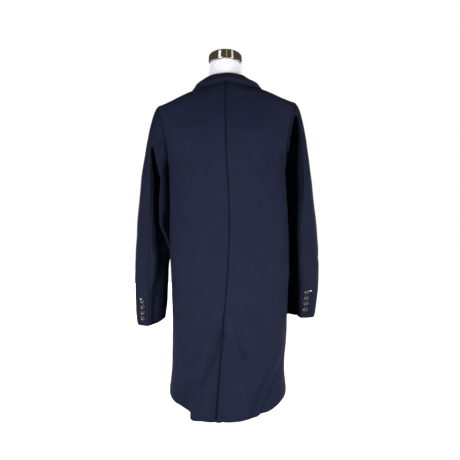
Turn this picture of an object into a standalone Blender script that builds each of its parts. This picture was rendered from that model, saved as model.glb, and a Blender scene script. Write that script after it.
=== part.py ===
"""Navy wool topcoat hanging on a limbless dress form.

Metres, +Z up, floor at z = 0. The front of the coat faces -Y and the back faces +Y.
The wearer's left is +X. Each cloth piece is a wall lofted through rows of one body form.
"""

import math
from collections import namedtuple

import bmesh
import bpy
import numpy as np
from mathutils import Vector

# Driving dimensions
WALL = 0.003
SEAM_GAP = 0.0002
SEAT_GAP = 0.0004
LAYER_GAP = 0.0010
ARMHOLE_GAP = 0.0012
NECK_HALF_WIDTH = 0.078
NECK_SEAM_Y = 0.008
NECK_POINT_Z = 0.874
SHOULDER_LEAN = 0.0255
LEAN_FROM_Z = 0.60
LEAN_FULL_Z = 0.84
BREAK_LEVEL = 0.570
FRONT_LAP = 0.030
LAP_BLEND = 0.028
LAP_LEAD = 0.018
LAPEL_GAP = 0.0008
LAPPED_LAPEL_GAP = 0.0014
VENT_STRIP_TOP = 0.295
BACK_COLUMNS = 12
FRONT_COLUMNS = 11
EDGE_BUNCH = 1.35
HEM_FOLDS_TOP = 0.230
HEM_ROWS = 8
SKIRT_ROWS = 8
SLEEVE_STEPS = 10
LEFT_BACK_SEAM = 5
RIGHT_BACK_SEAM = 6
CUFF_BUTTON_RADIUS = 0.0068
CUFF_BUTTON_PITCH = 0.0158
FIRST_BUTTON_LEFT_Z = 0.2385
FIRST_BUTTON_RIGHT_Z = 0.2645
FRONT_BUTTON_RADIUS = 0.0125
FRONT_BUTTON_X = 0.004
FRONT_BUTTON_LEVELS = (0.5229, 0.4057, 0.2886)
NECK_RADIUS = 0.047
NECK_CLEARANCE = 0.0055
NECK_TILT = math.radians(4.5)
NECK_CENTRE = (0.005, 0.001)
NECK_FOOT_Z = 0.895
NECK_TOP_Z = 0.9455
CAP_HEIGHT = 0.025
FORM_FOOT_LEVEL = 0.270
POLE_RADIUS = 0.014
BASE_RADIUS = 0.110
BASE_HEIGHT = 0.011

# One row of the body form for each height, named by where it lies on the wearer.
# level is the height at the side or armhole edge, back_z and front_z those at the centre lines.
# reach 1 turns fully to the side seam, and less than 1 stops short of it at the armhole.
BodyRow = namedtuple(
    "BodyRow",
    "name level half_width shift back_z back_y back_edge front_z front_y front_edge reach square",
)
BODY_ROWS = [
    BodyRow("hem", 0.040, 0.1635, -0.003, 0.0040, 0.140, 0.000, 0.032, -0.122, 0.000, 1.00, 2.2),
    BodyRow("flare", 0.095, 0.1580, -0.003, 0.073, 0.137, 0.000, 0.090, -0.121, 0.000, 1.00, 2.3),
    BodyRow("skirt", 0.200, 0.1600, -0.008, 0.195, 0.132, 0.000, 0.200, -0.121, 0.000, 1.00, 2.3),
    BodyRow("hip", 0.320, 0.1640, -0.008, 0.320, 0.127, 0.000, 0.320, -0.122, 0.000, 1.00, 2.3),
    BodyRow("seat", 0.450, 0.1655, -0.0045, 0.450, 0.122, 0.000, 0.450, -0.120, 0.000, 1.00, 2.3),
    BodyRow("waist", 0.550, 0.1635, -0.0020, 0.550, 0.117, 0.000, 0.550, -0.118, 0.000, 1.00, 2.3),
    BodyRow("underarm", 0.640, 0.1625, 0.000, 0.652, 0.118, 0.000, 0.650, -0.122, 0.000, 1.00, 2.3),
    BodyRow("armhole", 0.660, 0.1610, 0.000, 0.673, 0.118, 0.030, 0.668, -0.123, -0.030, 0.97, 2.3),
    BodyRow("blade", 0.715, 0.1640, 0.000, 0.730, 0.116, 0.050, 0.715, -0.122, -0.050, 0.85, 2.3),
    BodyRow("yoke", 0.780, 0.1770, 0.000, 0.800, 0.098, 0.046, 0.775, -0.100, -0.040, 0.72, 2.2),
    BodyRow("ridge", 0.822, 0.1895, 0.000, 0.858, 0.076, 0.030, 0.835, -0.072, -0.012, 0.60, 2.1),
    BodyRow("shoulder", 0.8305, 0.1930, 0.000, 0.878, 0.064, 0.010, 0.846, -0.062, 0.010, 0.50, 2.0),
]
LEVELS = np.array([row.level for row in BODY_ROWS])
HEM_LEVEL = BODY_ROWS[0].level
UNDERARM_LEVEL = BODY_ROWS[6].level
TOP_LEVEL = BODY_ROWS[-1].level
SHOULDER_HALF_WIDTH = BODY_ROWS[-1].half_width
NECK_SHARE = NECK_HALF_WIDTH / SHOULDER_HALF_WIDTH

# Where the centre back seam runs: it drifts towards the wearer's left below the seat
SeamStop = namedtuple("SeamStop", "level x")
BACK_SEAM = [
    SeamStop(0.040, 0.0255),
    SeamStop(0.120, 0.0180),
    SeamStop(0.180, 0.0129),
    SeamStop(0.255, 0.0070),
    SeamStop(0.320, 0.0015),
    SeamStop(0.400, -0.0040),
    SeamStop(0.500, -0.0068),
    SeamStop(0.580, -0.0050),
    SeamStop(0.700, 0.0022),
    SeamStop(0.8305, 0.0030),
]

# Largest folds of the skirt: a soft trough (depth below 0) or ridge along a line on one face
Fold = namedtuple("Fold", "name face x_top z_top x_foot z_foot width depth")
FOLDS = [
    Fold("drag", 1, 0.008, 0.225, 0.060, 0.112, 0.017, -0.0075),
    Fold("kick", 1, 0.038, 0.150, 0.050, 0.000, 0.030, 0.0090),
    Fold("step", 1, 0.100, 0.110, 0.108, 0.000, 0.014, -0.0100),
    Fold("vent_dip", 1, -0.026, 0.210, -0.047, 0.150, 0.015, -0.0050),
    Fold("sway_out", 1, -0.145, 0.130, -0.090, 0.015, 0.012, -0.0060),
    Fold("sway_in", 1, -0.122, 0.128, -0.066, 0.010, 0.013, -0.0055),
    Fold("sway_ridge", 1, -0.133, 0.120, -0.080, 0.008, 0.010, 0.0040),
    Fold("front_sway_left", -1, 0.090, 0.190, 0.105, 0.010, 0.018, 0.0060),
    Fold("front_sway_right", -1, -0.085, 0.170, -0.100, 0.010, 0.020, 0.0065),
]

# One row of each sleeve below its head, x given outwards from the coat's middle
SleeveRow = namedtuple("SleeveRow", "name z x_in x_out y_front y_back")
LEFT_SLEEVE = [
    SleeveRow("biceps", 0.600, 0.1660, 0.2425, -0.062, 0.058),
    SleeveRow("elbow", 0.440, 0.1645, 0.2565, -0.063, 0.050),
    SleeveRow("forearm", 0.320, 0.1670, 0.2605, -0.066, 0.039),
    SleeveRow("cuff", 0.217, 0.1750, 0.2570, -0.069, 0.027),
]
RIGHT_SLEEVE = [
    SleeveRow("biceps", 0.600, 0.1670, 0.2385, -0.062, 0.058),
    SleeveRow("elbow", 0.440, 0.1735, 0.2570, -0.064, 0.050),
    SleeveRow("forearm", 0.330, 0.1765, 0.2600, -0.067, 0.039),
    SleeveRow("cuff", 0.239, 0.1745, 0.2510, -0.070, 0.027),
]

# Collar sections from the centre back to the side of the neck, +X side
CollarStop = namedtuple("CollarStop", "name stand roll fall")
COLLAR_STOPS = [
    CollarStop("centre_back", (0.000, 0.0655, 0.8802), (0.000, 0.0570, 0.9045), (0.000, 0.0880, 0.8690)),
    CollarStop("back_quarter", (0.0535, 0.0500, 0.8800), (0.044, 0.0430, 0.9005), (0.067, 0.0640, 0.8670)),
    CollarStop("neck_side", (0.0795, 0.0080, 0.8775), (0.0660, 0.0060, 0.8945), (0.0975, 0.0100, 0.8702)),
]

# Front collar sections, by level on the front edge, with how far the fall lies over the front
FrontStop = namedtuple("FrontStop", "name level rise fall_reach")
FRONT_STOPS = [
    FrontStop("front_ridge", 0.8290, 0.0150, 0.024),
    FrontStop("front_neck", 0.8260, 0.0120, 0.028),
    FrontStop("collar_bend", 0.8200, 0.0085, 0.031),
    FrontStop("front_fall", 0.8100, 0.0060, 0.034),
    FrontStop("gorge", 0.7940, 0.0045, 0.040),
]
COLLAR_SEAT = 0.0034
LAPEL_TOP_LEVEL = 0.7905
LAPEL_WIDTH = 0.078
LAPEL_TIP_WIDTH = 0.006
LAPEL_TIP_RISE = 0.014

# How far the form stays inside the coat's outer face, by level
FormStop = namedtuple("FormStop", "level inset")
FORM_STOPS = [
    FormStop(0.270, 0.030),
    FormStop(0.380, 0.019),
    FormStop(0.520, 0.034),
    FormStop(0.640, 0.016),
    FormStop(0.715, 0.0120),
    FormStop(0.788, 0.0085),
    FormStop(0.8215, 0.0060),
    FormStop(0.8305, 0.0038),
]

NAVY_WOOL = (0.014, 0.016, 0.045, 1.0)
WHITE_JERSEY = (0.80, 0.80, 0.79, 1.0)
CHROME = (0.55, 0.53, 0.50, 1.0)
HORN = (0.020, 0.019, 0.020, 1.0)
GREY_STEEL = (0.50, 0.50, 0.51, 1.0)


def smooth_values(knots, values, at):
    """Smooth curve through values at knots that never overshoots them."""
    knots = np.asarray(knots, float)
    values = np.asarray(values, float)
    steps = np.diff(knots)
    slopes = np.diff(values, axis=0) / steps.reshape((-1,) + (1,) * (values.ndim - 1))
    tangents = np.zeros_like(values)
    tangents[0] = slopes[0]
    tangents[-1] = slopes[-1]
    product = slopes[:-1] * slopes[1:]
    total = slopes[:-1] + slopes[1:]
    safe = np.where(np.abs(total) < 1e-12, 1.0, total)
    tangents[1:-1] = np.where(product > 0.0, 2.0 * product / safe, 0.0)
    span = int(np.clip(np.searchsorted(knots, at) - 1, 0, len(steps) - 1))
    t = (at - knots[span]) / steps[span]
    start = values[span] * (2 * t**3 - 3 * t**2 + 1) + tangents[span] * steps[span] * (t**3 - 2 * t**2 + t)
    end = values[span + 1] * (3 * t**2 - 2 * t**3) + tangents[span + 1] * steps[span] * (t**3 - t**2)
    return start + end


def ease(value):
    """Ramp from 0 to 1 with level ends."""
    value = min(max(value, 0.0), 1.0)
    return value * value * (3.0 - 2.0 * value)


def unit(vector):
    """Vector of length 1."""
    return vector / np.linalg.norm(vector)


def lean(point):
    """Drop the left shoulder and lift the right one a little, as the coat hangs."""
    share = ease((point[2] - LEAN_FROM_Z) / (LEAN_FULL_Z - LEAN_FROM_Z))
    return point - np.array([0.0, 0.0, SHOULDER_LEAN * share * point[0]])


def row_point(row, face, share):
    """Point of one body row at a share of its half width, on the back (1) or front (-1)."""
    mid_z = row.back_z if face > 0 else row.front_z
    mid_y = row.back_y if face > 0 else row.front_y
    edge_y = row.back_edge if face > 0 else row.front_edge
    across = min(abs(share), 1.0)
    power = row.square
    drop = 1.0 - (1.0 - (row.reach * across) ** power) ** (1.0 / power)
    full_drop = 1.0 - (1.0 - row.reach**power) ** (1.0 / power)
    y = mid_y + (edge_y - mid_y) * drop / full_drop
    z = mid_z + (row.level - mid_z) * across**2
    return np.array([row.shift + row.half_width * share, y, z])


def shoulder_point(row, face, share):
    """Point of the top row: the neckline near the middle, then the shoulder seam."""
    mid_z = row.back_z if face > 0 else row.front_z
    mid_y = row.back_y if face > 0 else row.front_y
    across = min(abs(share), 1.0)
    x = row.half_width * share
    if across < NECK_SHARE:
        turn = across / NECK_SHARE
        y = NECK_SEAM_Y + (mid_y - NECK_SEAM_Y) * math.sqrt(1.0 - turn**2)
        z = mid_z + (NECK_POINT_Z - mid_z) * turn**2
        return np.array([x, y, z])
    along = (across - NECK_SHARE) / (1.0 - NECK_SHARE)
    y = NECK_SEAM_Y + (row.back_edge - NECK_SEAM_Y) * along
    z = NECK_POINT_Z + (row.level - NECK_POINT_Z) * along
    return np.array([x, y, z])


def plain_point(face, level, share):
    """Point of the body form without folds."""
    rows = [row_point(row, face, share) for row in BODY_ROWS[:-1]]
    rows.append(shoulder_point(BODY_ROWS[-1], face, share))
    return lean(smooth_values(LEVELS, np.array(rows), level))


def plain_normal(face, level, share):
    """Outward direction of the plain form, from small steps along it."""
    step_share = 0.012
    step_level = 0.004
    low_share = max(share - step_share, -1.0)
    high_share = min(share + step_share, 1.0)
    low_level = max(level - step_level, HEM_LEVEL)
    high_level = min(level + step_level, TOP_LEVEL)
    along = plain_point(face, level, high_share) - plain_point(face, level, low_share)
    up = plain_point(face, high_level, share) - plain_point(face, low_level, share)
    return unit(np.cross(up, along) * face)


def seam_normal(face, level, share):
    """Outward direction, shared by back and front where they meet at a seam."""
    normal = plain_normal(face, level, share)
    at_side = abs(share) > 0.999 and level < UNDERARM_LEVEL + 1e-6
    at_shoulder = level > TOP_LEVEL - 1e-6 and abs(share) > NECK_SHARE - 1e-6
    if at_side or at_shoulder:
        normal = unit(normal + plain_normal(-face, level, share))
    return normal


def fold_offset(face, point):
    """Height of the folds at a point of one face."""
    total = 0.0
    for fold in FOLDS:
        if fold.face != face:
            continue
        top = np.array([fold.x_top, fold.z_top])
        line = np.array([fold.x_foot, fold.z_foot]) - top
        place = np.array([point[0], point[2]]) - top
        along = float(place @ line) / float(line @ line)
        if along < -0.3:
            continue
        distance = np.linalg.norm(place - line * min(along, 1.0))
        fade = ease((along + 0.3) / 0.8)
        total += fold.depth * fade * math.exp(-((distance / fold.width) ** 2))
    return total


def coat_point(face, level, share, lapped=False):
    """Outer point of the coat and its outward direction, with folds and the front overlap."""
    point = plain_point(face, level, share)
    normal = seam_normal(face, level, share)
    offset = fold_offset(face, point)
    if lapped:
        offset += (WALL + LAYER_GAP) * ease((point[0] + FRONT_LAP + LAP_LEAD + LAP_BLEND) / LAP_BLEND)
    return point + normal * offset, normal


def share_at(level, x):
    """Share of the half width that lies at x on one level."""
    half = smooth_values(LEVELS, np.array([row.half_width for row in BODY_ROWS]), level)
    shift = smooth_values(LEVELS, np.array([row.shift for row in BODY_ROWS]), level)
    return float((x - shift) / half)


def back_seam_x(level):
    """Where the centre back seam lies on one level."""
    return float(smooth_values([stop.level for stop in BACK_SEAM], [stop.x for stop in BACK_SEAM], level))


def front_edge_x(side, level):
    """Front edge: past the middle up to the break, then along the lapel's roll line."""
    rise = min(max((level - BREAK_LEVEL) / (TOP_LEVEL - BREAK_LEVEL), 0.0), 1.0)
    return side * (-FRONT_LAP + (FRONT_LAP + NECK_HALF_WIDTH) * rise)


def crowded(count, bunch):
    """Shares from 0 to 1 in count steps, closer together towards 1."""
    return [1.0 - (1.0 - step / count) ** bunch for step in range(count + 1)]


def body_levels():
    """Levels of the panel rows, closer at the hem folds and the armhole."""
    hem = np.linspace(HEM_LEVEL, HEM_FOLDS_TOP, HEM_ROWS)
    skirt = np.linspace(HEM_FOLDS_TOP, UNDERARM_LEVEL, SKIRT_ROWS)
    armhole = [0.647, 0.662, 0.685, 0.712, 0.740, 0.766, 0.788, 0.807, 0.8215, TOP_LEVEL]
    return list(hem) + list(skirt[1:]) + armhole


ARMHOLE_LEVELS = [level for level in body_levels() if level > UNDERARM_LEVEL - 1e-6]


def new_object(name, mesh, colour, roughness, metallic=0.0):
    """Object with its own material, linked to the part's collection."""
    material = bpy.data.materials.new(name + "_finish")
    material.use_nodes = True
    shader = material.node_tree.nodes["Principled BSDF"]
    shader.inputs["Base Color"].default_value = colour
    shader.inputs["Roughness"].default_value = roughness
    shader.inputs["Metallic"].default_value = metallic
    mesh.materials.append(material)
    part = bpy.data.objects.new(name, mesh)
    bpy.data.collections["wool_coat_on_dress_form"].objects.link(part)
    return part


def loft_wall(name, outer, inner, colour, roughness):
    """Closed wall between an outer and an inner grid of points."""
    outer = np.asarray(outer)
    inner = np.asarray(inner)
    rows, columns = outer.shape[:2]
    form = bmesh.new()
    skins = []
    for grid in (outer, inner):
        skins.append([[form.verts.new(grid[r, c]) for c in range(columns)] for r in range(rows)])
    for r in range(rows - 1):
        for c in range(columns - 1):
            for skin in skins:
                form.faces.new((skin[r][c], skin[r][c + 1], skin[r + 1][c + 1], skin[r + 1][c]))
    rim = [(0, c) for c in range(columns)]
    rim += [(r, columns - 1) for r in range(1, rows)]
    rim += [(rows - 1, c) for c in range(columns - 2, -1, -1)]
    rim += [(r, 0) for r in range(rows - 2, 0, -1)]
    for here, there in zip(rim, rim[1:] + rim[:1]):
        corners = (skins[0][here[0]][here[1]], skins[0][there[0]][there[1]])
        corners += (skins[1][there[0]][there[1]], skins[1][here[0]][here[1]])
        form.faces.new(corners)
    bmesh.ops.recalc_face_normals(form, faces=form.faces)
    mesh = bpy.data.meshes.new(name)
    form.to_mesh(mesh)
    form.free()
    mesh.shade_smooth()
    mesh.set_sharp_from_angle(angle=math.radians(50))
    return new_object(name, mesh, colour, roughness)


def draw_in(grid, gap):
    """Move the grid's left and right edges inwards by a gap, so that seams stay open."""
    grid = np.array(grid)
    for edge, inside in ((0, 1), (-1, -2)):
        way = grid[:, inside] - grid[:, edge]
        grid[:, edge] += way / np.linalg.norm(way, axis=1)[:, None] * gap
    return grid


def draw_down(grid, gap):
    """Move the grid's top row down by a gap."""
    grid = np.array(grid)
    way = grid[-2] - grid[-1]
    grid[-1] += way / np.linalg.norm(way, axis=1)[:, None] * gap
    return grid


def wall_grids(face, levels, shares_at_level, lapped=False, lift=0.0, wall=WALL):
    """Outer and inner points of a panel, or of what lies on it at a lift."""
    outer = []
    inner = []
    for level in levels:
        outer_row = []
        inner_row = []
        for share in shares_at_level(level):
            point, normal = coat_point(face, level, share, lapped)
            outer_row.append(point + normal * lift)
            inner_row.append(point + normal * (lift - wall))
        outer.append(outer_row)
        inner.append(inner_row)
    return draw_in(outer, SEAM_GAP), draw_in(inner, SEAM_GAP)


def back_shares(side, level):
    """Shares across half of the back, from the centre seam to the side."""
    middle = share_at(level, back_seam_x(level))
    return [middle + (side - middle) * step for step in crowded(BACK_COLUMNS, EDGE_BUNCH)]


def back_panel(name, side):
    """Half of the back, from the centre seam to the side seam, armhole and shoulder."""
    outer, inner = wall_grids(1, body_levels(), lambda level: back_shares(side, level))
    loft_wall(name, draw_down(outer, SEAM_GAP), draw_down(inner, SEAM_GAP), NAVY_WOOL, 0.9)


def front_panel(name, side):
    """One front, from its edge or roll line to the side seam, armhole and shoulder."""
    steps = crowded(FRONT_COLUMNS, EDGE_BUNCH)

    def shares(level):
        middle = share_at(level, front_edge_x(side, level))
        return [middle + (side - middle) * step for step in steps]

    outer, inner = wall_grids(-1, body_levels(), shares, lapped=side < 0)
    loft_wall(name, draw_down(outer, SEAM_GAP), draw_down(inner, SEAM_GAP), NAVY_WOOL, 0.9)


def vent_underlap():
    """Strip behind the open vent at the centre back."""
    levels = [level for level in body_levels() if level < VENT_STRIP_TOP]

    def shares(level):
        right = back_shares(-1, level)
        left = back_shares(1, level)
        return [right[2], right[1], right[0], left[1]]

    outer, inner = wall_grids(1, levels, shares, lift=-WALL - LAYER_GAP)
    loft_wall("vent_underlap", outer, inner, NAVY_WOOL, 0.9)


def lapel(name, side):
    """Turned-back front edge, lying on the front from the roll line outwards."""
    clear_of_lap = BREAK_LEVEL + (TOP_LEVEL - BREAK_LEVEL) * FRONT_LAP / (FRONT_LAP + NECK_HALF_WIDTH)
    start = BREAK_LEVEL + LAPEL_TIP_RISE if side < 0 else clear_of_lap + LAPEL_TIP_RISE
    levels = np.linspace(start, LAPEL_TOP_LEVEL, 11)

    def shares(level):
        along = (level - start) / (LAPEL_TOP_LEVEL - start)
        width = LAPEL_TIP_WIDTH + (LAPEL_WIDTH - LAPEL_TIP_WIDTH) * math.sin(0.5 * math.pi * along) ** 0.9
        edge = front_edge_x(side, level)
        return [share_at(level, edge + side * width * step / 5) for step in range(6)]

    gap = LAPPED_LAPEL_GAP if side < 0 else LAPEL_GAP
    outer, inner = wall_grids(-1, levels, shares, lapped=side < 0, lift=WALL + gap)
    loft_wall(name, outer, inner, NAVY_WOOL, 0.9)


def collar_front_section(side, stop):
    """Stand, roll and fall points of a front collar section, worked out on the front."""
    edge_x = front_edge_x(side, stop.level)
    lapped = side < 0
    edge, normal = coat_point(-1, stop.level, share_at(stop.level, edge_x), lapped)
    far_x = edge_x + side * stop.fall_reach
    far, far_normal = coat_point(-1, stop.level, share_at(stop.level, far_x), lapped)
    across = unit(far - edge)
    stand = edge + normal * COLLAR_SEAT + across * 0.0020
    roll = edge + normal * (COLLAR_SEAT + stop.rise) - across * 0.005
    fall = far + far_normal * (COLLAR_SEAT + SEAT_GAP)
    return stand, roll, fall


def collar_sections():
    """Sections from the right gorge round the back to the left gorge."""
    halves = []
    for side in (1, -1):
        half = []
        for stop in COLLAR_STOPS:
            points = [np.array(place) * (side, 1.0, 1.0) for place in stop[1:]]
            half.append([lean(place) for place in points])
        for stop in FRONT_STOPS:
            half.append(list(collar_front_section(side, stop)))
        halves.append(half)
    return np.array(halves[1][:0:-1] + halves[0])


def collar():
    """Stand and fall as one turned band along the neckline."""
    stops = collar_sections()
    knots = np.concatenate(([0.0], np.cumsum(np.linalg.norm(np.diff(stops[:, 1], axis=0), axis=1))))
    outer = []
    inner = []
    for distance in np.linspace(0.0, knots[-1], 27):
        stand, roll, fall = curve_through(knots, stops, distance)
        across = unit(fall - stand)
        up = unit(roll - 0.5 * (stand + fall))
        across = unit(across - up * float(across @ up))
        guide = np.array([
            stand,
            0.5 * (stand + roll) - across * 0.0010,
            roll - across * 0.0030 - up * 0.0030,
            roll,
            roll + across * 0.0036 - up * 0.0024,
            0.5 * (roll + fall) + across * 0.0030 + up * 0.0030,
            fall,
        ])
        section = [curve_through(range(7), guide, place) for place in np.linspace(0.0, 6.0, 13)]
        ways = np.gradient(np.array(section), axis=0)
        side_way = unit(np.cross(across, up))
        outward = np.array([unit(np.cross(way, side_way)) for way in ways])
        outward *= np.sign(float(outward[6] @ up))
        outer.append(np.array(section) + outward * WALL / 2)
        inner.append(np.array(section) - outward * WALL / 2)
    loft_wall("collar", outer, inner, NAVY_WOOL, 0.9)


def curve_through(knots, values, at):
    """Round curve through points, with tangents from their neighbours."""
    knots = np.asarray(knots, float)
    values = np.asarray(values, float)
    tangents = np.gradient(values, knots, axis=0)
    span = int(np.clip(np.searchsorted(knots, at) - 1, 0, len(knots) - 2))
    step = knots[span + 1] - knots[span]
    t = (at - knots[span]) / step
    start = values[span] * (2 * t**3 - 3 * t**2 + 1) + tangents[span] * step * (t**3 - 2 * t**2 + t)
    end = values[span + 1] * (3 * t**2 - 2 * t**3) + tangents[span + 1] * step * (t**3 - t**2)
    return start + end


def armhole_loop(side):
    """Armhole edge from the shoulder down the back, under the arm and up the front."""
    back = [coat_point(1, level, side)[0] for level in reversed(ARMHOLE_LEVELS)]
    front = [coat_point(-1, level, side)[0] for level in ARMHOLE_LEVELS]
    return np.array(back + front[1:-1])


def sleeve_ring(side, rows, z):
    """Ring of a sleeve at one height, in the order of the armhole loop."""
    heights = [row.z for row in reversed(rows)]

    def width_of(column):
        return float(smooth_values(heights, [getattr(row, column) for row in reversed(rows)], z))

    x_in, x_out, y_front, y_back = (width_of(name) for name in ("x_in", "x_out", "y_front", "y_back"))
    ring = []
    for step in range(2 * SLEEVE_STEPS):
        turn = math.pi * step / SLEEVE_STEPS
        power = 2.0 / 2.25
        across = math.copysign(abs(math.cos(turn)) ** power, math.cos(turn))
        deep = math.copysign(abs(math.sin(turn)) ** power, math.sin(turn))
        x = 0.5 * (x_in + x_out) + 0.5 * (x_out - x_in) * across
        y = 0.5 * (y_front + y_back) + 0.5 * (y_back - y_front) * deep
        ring.append((side * x, y, z))
    return np.array(ring)


def sleeve_rows(side, rows):
    """All rings of a sleeve, from the cuff up to the armhole."""
    arm = np.linspace(rows[-1].z, rows[0].z, 8)
    grid = [sleeve_ring(side, rows, z) for z in arm]
    biceps = grid[-1]
    loop = armhole_loop(side) + np.array([side * ARMHOLE_GAP, 0.0, 0.0])
    reach = np.linalg.norm(loop - biceps, axis=1)[:, None]
    turns = np.array([math.cos(math.pi * step / SLEEVE_STEPS) for step in range(2 * SLEEVE_STEPS)])
    leave = np.stack([side * np.ones_like(turns), 0.0 * turns, -0.15 - 0.15 * turns], axis=1) * reach * 0.21
    arrive = np.array([side * 0.05, 0.0, -1.0]) * reach * 0.85
    for t in (0.80, 0.62, 0.46, 0.32, 0.18, 0.07, 0.0):
        ring = loop * (2 * t**3 - 3 * t**2 + 1) + leave * (t**3 - 2 * t**2 + t)
        ring = ring + biceps * (3 * t**2 - 2 * t**3) + arrive * (t**3 - t**2)
        grid.append(ring)
    return np.array(grid)


def ring_normals(grid, side):
    """Outward directions of a stack of closed rings."""
    around = np.roll(grid, -1, axis=1) - np.roll(grid, 1, axis=1)
    along = np.gradient(grid, axis=0)
    normals = np.cross(around, along) * side
    return normals / np.linalg.norm(normals, axis=2)[:, :, None]


def sleeve(label, side, rows, back_seam):
    """Top and under sleeve, parted at the back and front seams."""
    grid = sleeve_rows(side, rows)
    normals = ring_normals(grid, side)
    front_seam = 2 * SLEEVE_STEPS - SLEEVE_STEPS // 2
    top = [index % (2 * SLEEVE_STEPS) for index in range(front_seam, 2 * SLEEVE_STEPS + back_seam + 1)]
    under = list(range(back_seam, front_seam + 1))
    for piece, columns in (("top", top), ("under", under)):
        outer = draw_in(grid[:, columns], SEAM_GAP)
        inner = draw_in(grid[:, columns] - normals[:, columns] * WALL, SEAM_GAP)
        loft_wall("sleeve_" + label + "_" + piece, outer, inner, NAVY_WOOL, 0.9)
    return grid, normals


def turned(name, profile, steps, colour, roughness, metallic=0.0):
    """Closed turned piece: an edge profile about its own Z axis, with a Screw modifier."""
    mesh = bpy.data.meshes.new(name)
    points = [(radius, 0.0, height) for radius, height in profile]
    mesh.from_pydata(points, [(i, i + 1) for i in range(len(points) - 1)], [])
    part = new_object(name, mesh, colour, roughness, metallic)
    screw = part.modifiers.new("turn", "SCREW")
    screw.steps = steps
    screw.render_steps = steps
    screw.use_merge_vertices = True
    screw.merge_threshold = 0.00001
    screw.use_smooth_shade = True
    return part


def button(name, point, normal, radius, steps):
    """Dished button with a raised rim, seated on the cloth."""
    thick = radius * 0.42
    profile = [
        (0.0, thick * 0.62),
        (radius * 0.60, thick * 0.62),
        (radius * 0.74, thick),
        (radius * 0.90, thick),
        (radius, thick * 0.62),
        (radius * 0.84, 0.0),
        (0.0, 0.0),
    ]
    part = turned(name, profile, steps, HORN, 0.45)
    seat = point + normal * SEAT_GAP
    part.location = seat
    part.rotation_mode = "QUATERNION"
    part.rotation_quaternion = Vector(normal).to_track_quat("Z", "Y")


def cuff_buttons(label, grid, normals, back_seam, first_z):
    """Four buttons in a row on the top sleeve, beside the vent at the back seam."""
    column = back_seam - 1
    heights = grid[:, column, 2]
    for number in range(4):
        z = first_z + number * CUFF_BUTTON_PITCH
        row = int(np.searchsorted(heights, z)) - 1
        t = (z - heights[row]) / (heights[row + 1] - heights[row])
        point = grid[row, column] * (1 - t) + grid[row + 1, column] * t
        normal = unit(normals[row, column] * (1 - t) + normals[row + 1, column] * t)
        button("cuff_button_" + label + "_" + str(number + 1), point, normal, CUFF_BUTTON_RADIUS, 12)


def front_buttons():
    """Three buttons down the middle of the lapped front."""
    for number, level in enumerate(FRONT_BUTTON_LEVELS):
        point, normal = coat_point(-1, level, share_at(level, FRONT_BUTTON_X), lapped=True)
        button("front_button_" + str(number + 1), point, normal, FRONT_BUTTON_RADIUS, 16)


def form_ring(level):
    """Closed ring of the form at one level, from the right armhole round the back."""
    levels = [stop.level for stop in FORM_STOPS]
    inset = float(smooth_values(levels, [stop.inset for stop in FORM_STOPS], level))
    shares = form_shares()
    ring = []
    for face, order in ((1, shares), (-1, shares[::-1])):
        for share in order:
            near_neck = ease((level - 0.78) / 0.04) * ease((NECK_SHARE + 0.14 - abs(share)) / 0.12)
            depth = inset + NECK_CLEARANCE * near_neck
            ring.append(plain_point(face, level, share) - seam_normal(face, level, share) * depth)
    return ring


def form_shares():
    """Shares across the form, with a row on each neck point."""
    half = [0.0, 0.16, 0.28, 0.36, NECK_SHARE, 0.52, 0.64, 0.76, 0.86, 0.94, 1.0]
    return [-share for share in half[:0:-1]] + half


def form_torso():
    """Smooth limbless torso with a neck, closed at the shoulders, arm plates and foot."""
    levels = [FORM_FOOT_LEVEL, 0.33, 0.39, 0.45, 0.51, 0.57, UNDERARM_LEVEL] + ARMHOLE_LEVELS[2:]
    rings = [form_ring(level) for level in levels]
    for point in rings[0]:
        point[2] = FORM_FOOT_LEVEL
    count = len(rings[0])
    form = bmesh.new()
    skin = [[form.verts.new(point) for point in ring] for ring in rings]
    form.faces.new(skin[0])
    for r in range(len(skin) - 1):
        for c in range(count):
            following = (c + 1) % count
            form.faces.new((skin[r][c], skin[r][following], skin[r + 1][following], skin[r + 1][c]))
    shares = form_shares()
    width = len(shares)
    left_neck = shares.index(-NECK_SHARE)
    right_neck = shares.index(NECK_SHARE)
    neck = list(range(left_neck, right_neck + 1))
    neck += list(range(2 * width - 1 - right_neck + 1, 2 * width - 1 - left_neck))
    previous = [skin[-1][index] for index in neck]
    axis = np.array([0.0, -math.sin(NECK_TILT), math.cos(NECK_TILT)])
    foot = np.array([NECK_CENTRE[0], NECK_CENTRE[1], NECK_FOOT_Z])
    ahead = np.array([0.0, -math.cos(NECK_TILT), -math.sin(NECK_TILT)])
    aside = np.array([1.0, 0.0, 0.0])
    back_count = right_neck - left_neck
    for rise in (0.008, 0.030, (NECK_TOP_Z - NECK_FOOT_Z) / axis[2]):
        flare = 1.0 + 0.06 * (1.0 - min(rise / 0.030, 1.0))
        ring = []
        for index in range(len(neck)):
            turn = math.pi * index / back_count
            spoke = -aside * math.cos(turn) - ahead * math.sin(turn)
            ring.append(form.verts.new(foot + axis * rise + spoke * NECK_RADIUS * flare))
        for c in range(len(neck)):
            following = (c + 1) % len(neck)
            form.faces.new((previous[c], previous[following], ring[following], ring[c]))
        previous = ring
    form.faces.new(previous)
    bmesh.ops.remove_doubles(form, verts=form.verts, dist=0.00001)
    bmesh.ops.recalc_face_normals(form, faces=form.faces)
    mesh = bpy.data.meshes.new("form_torso")
    form.to_mesh(mesh)
    form.free()
    mesh.shade_smooth()
    mesh.set_sharp_from_angle(angle=math.radians(60))
    new_object("form_torso", mesh, WHITE_JERSEY, 0.85)
    return foot, axis


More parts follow.
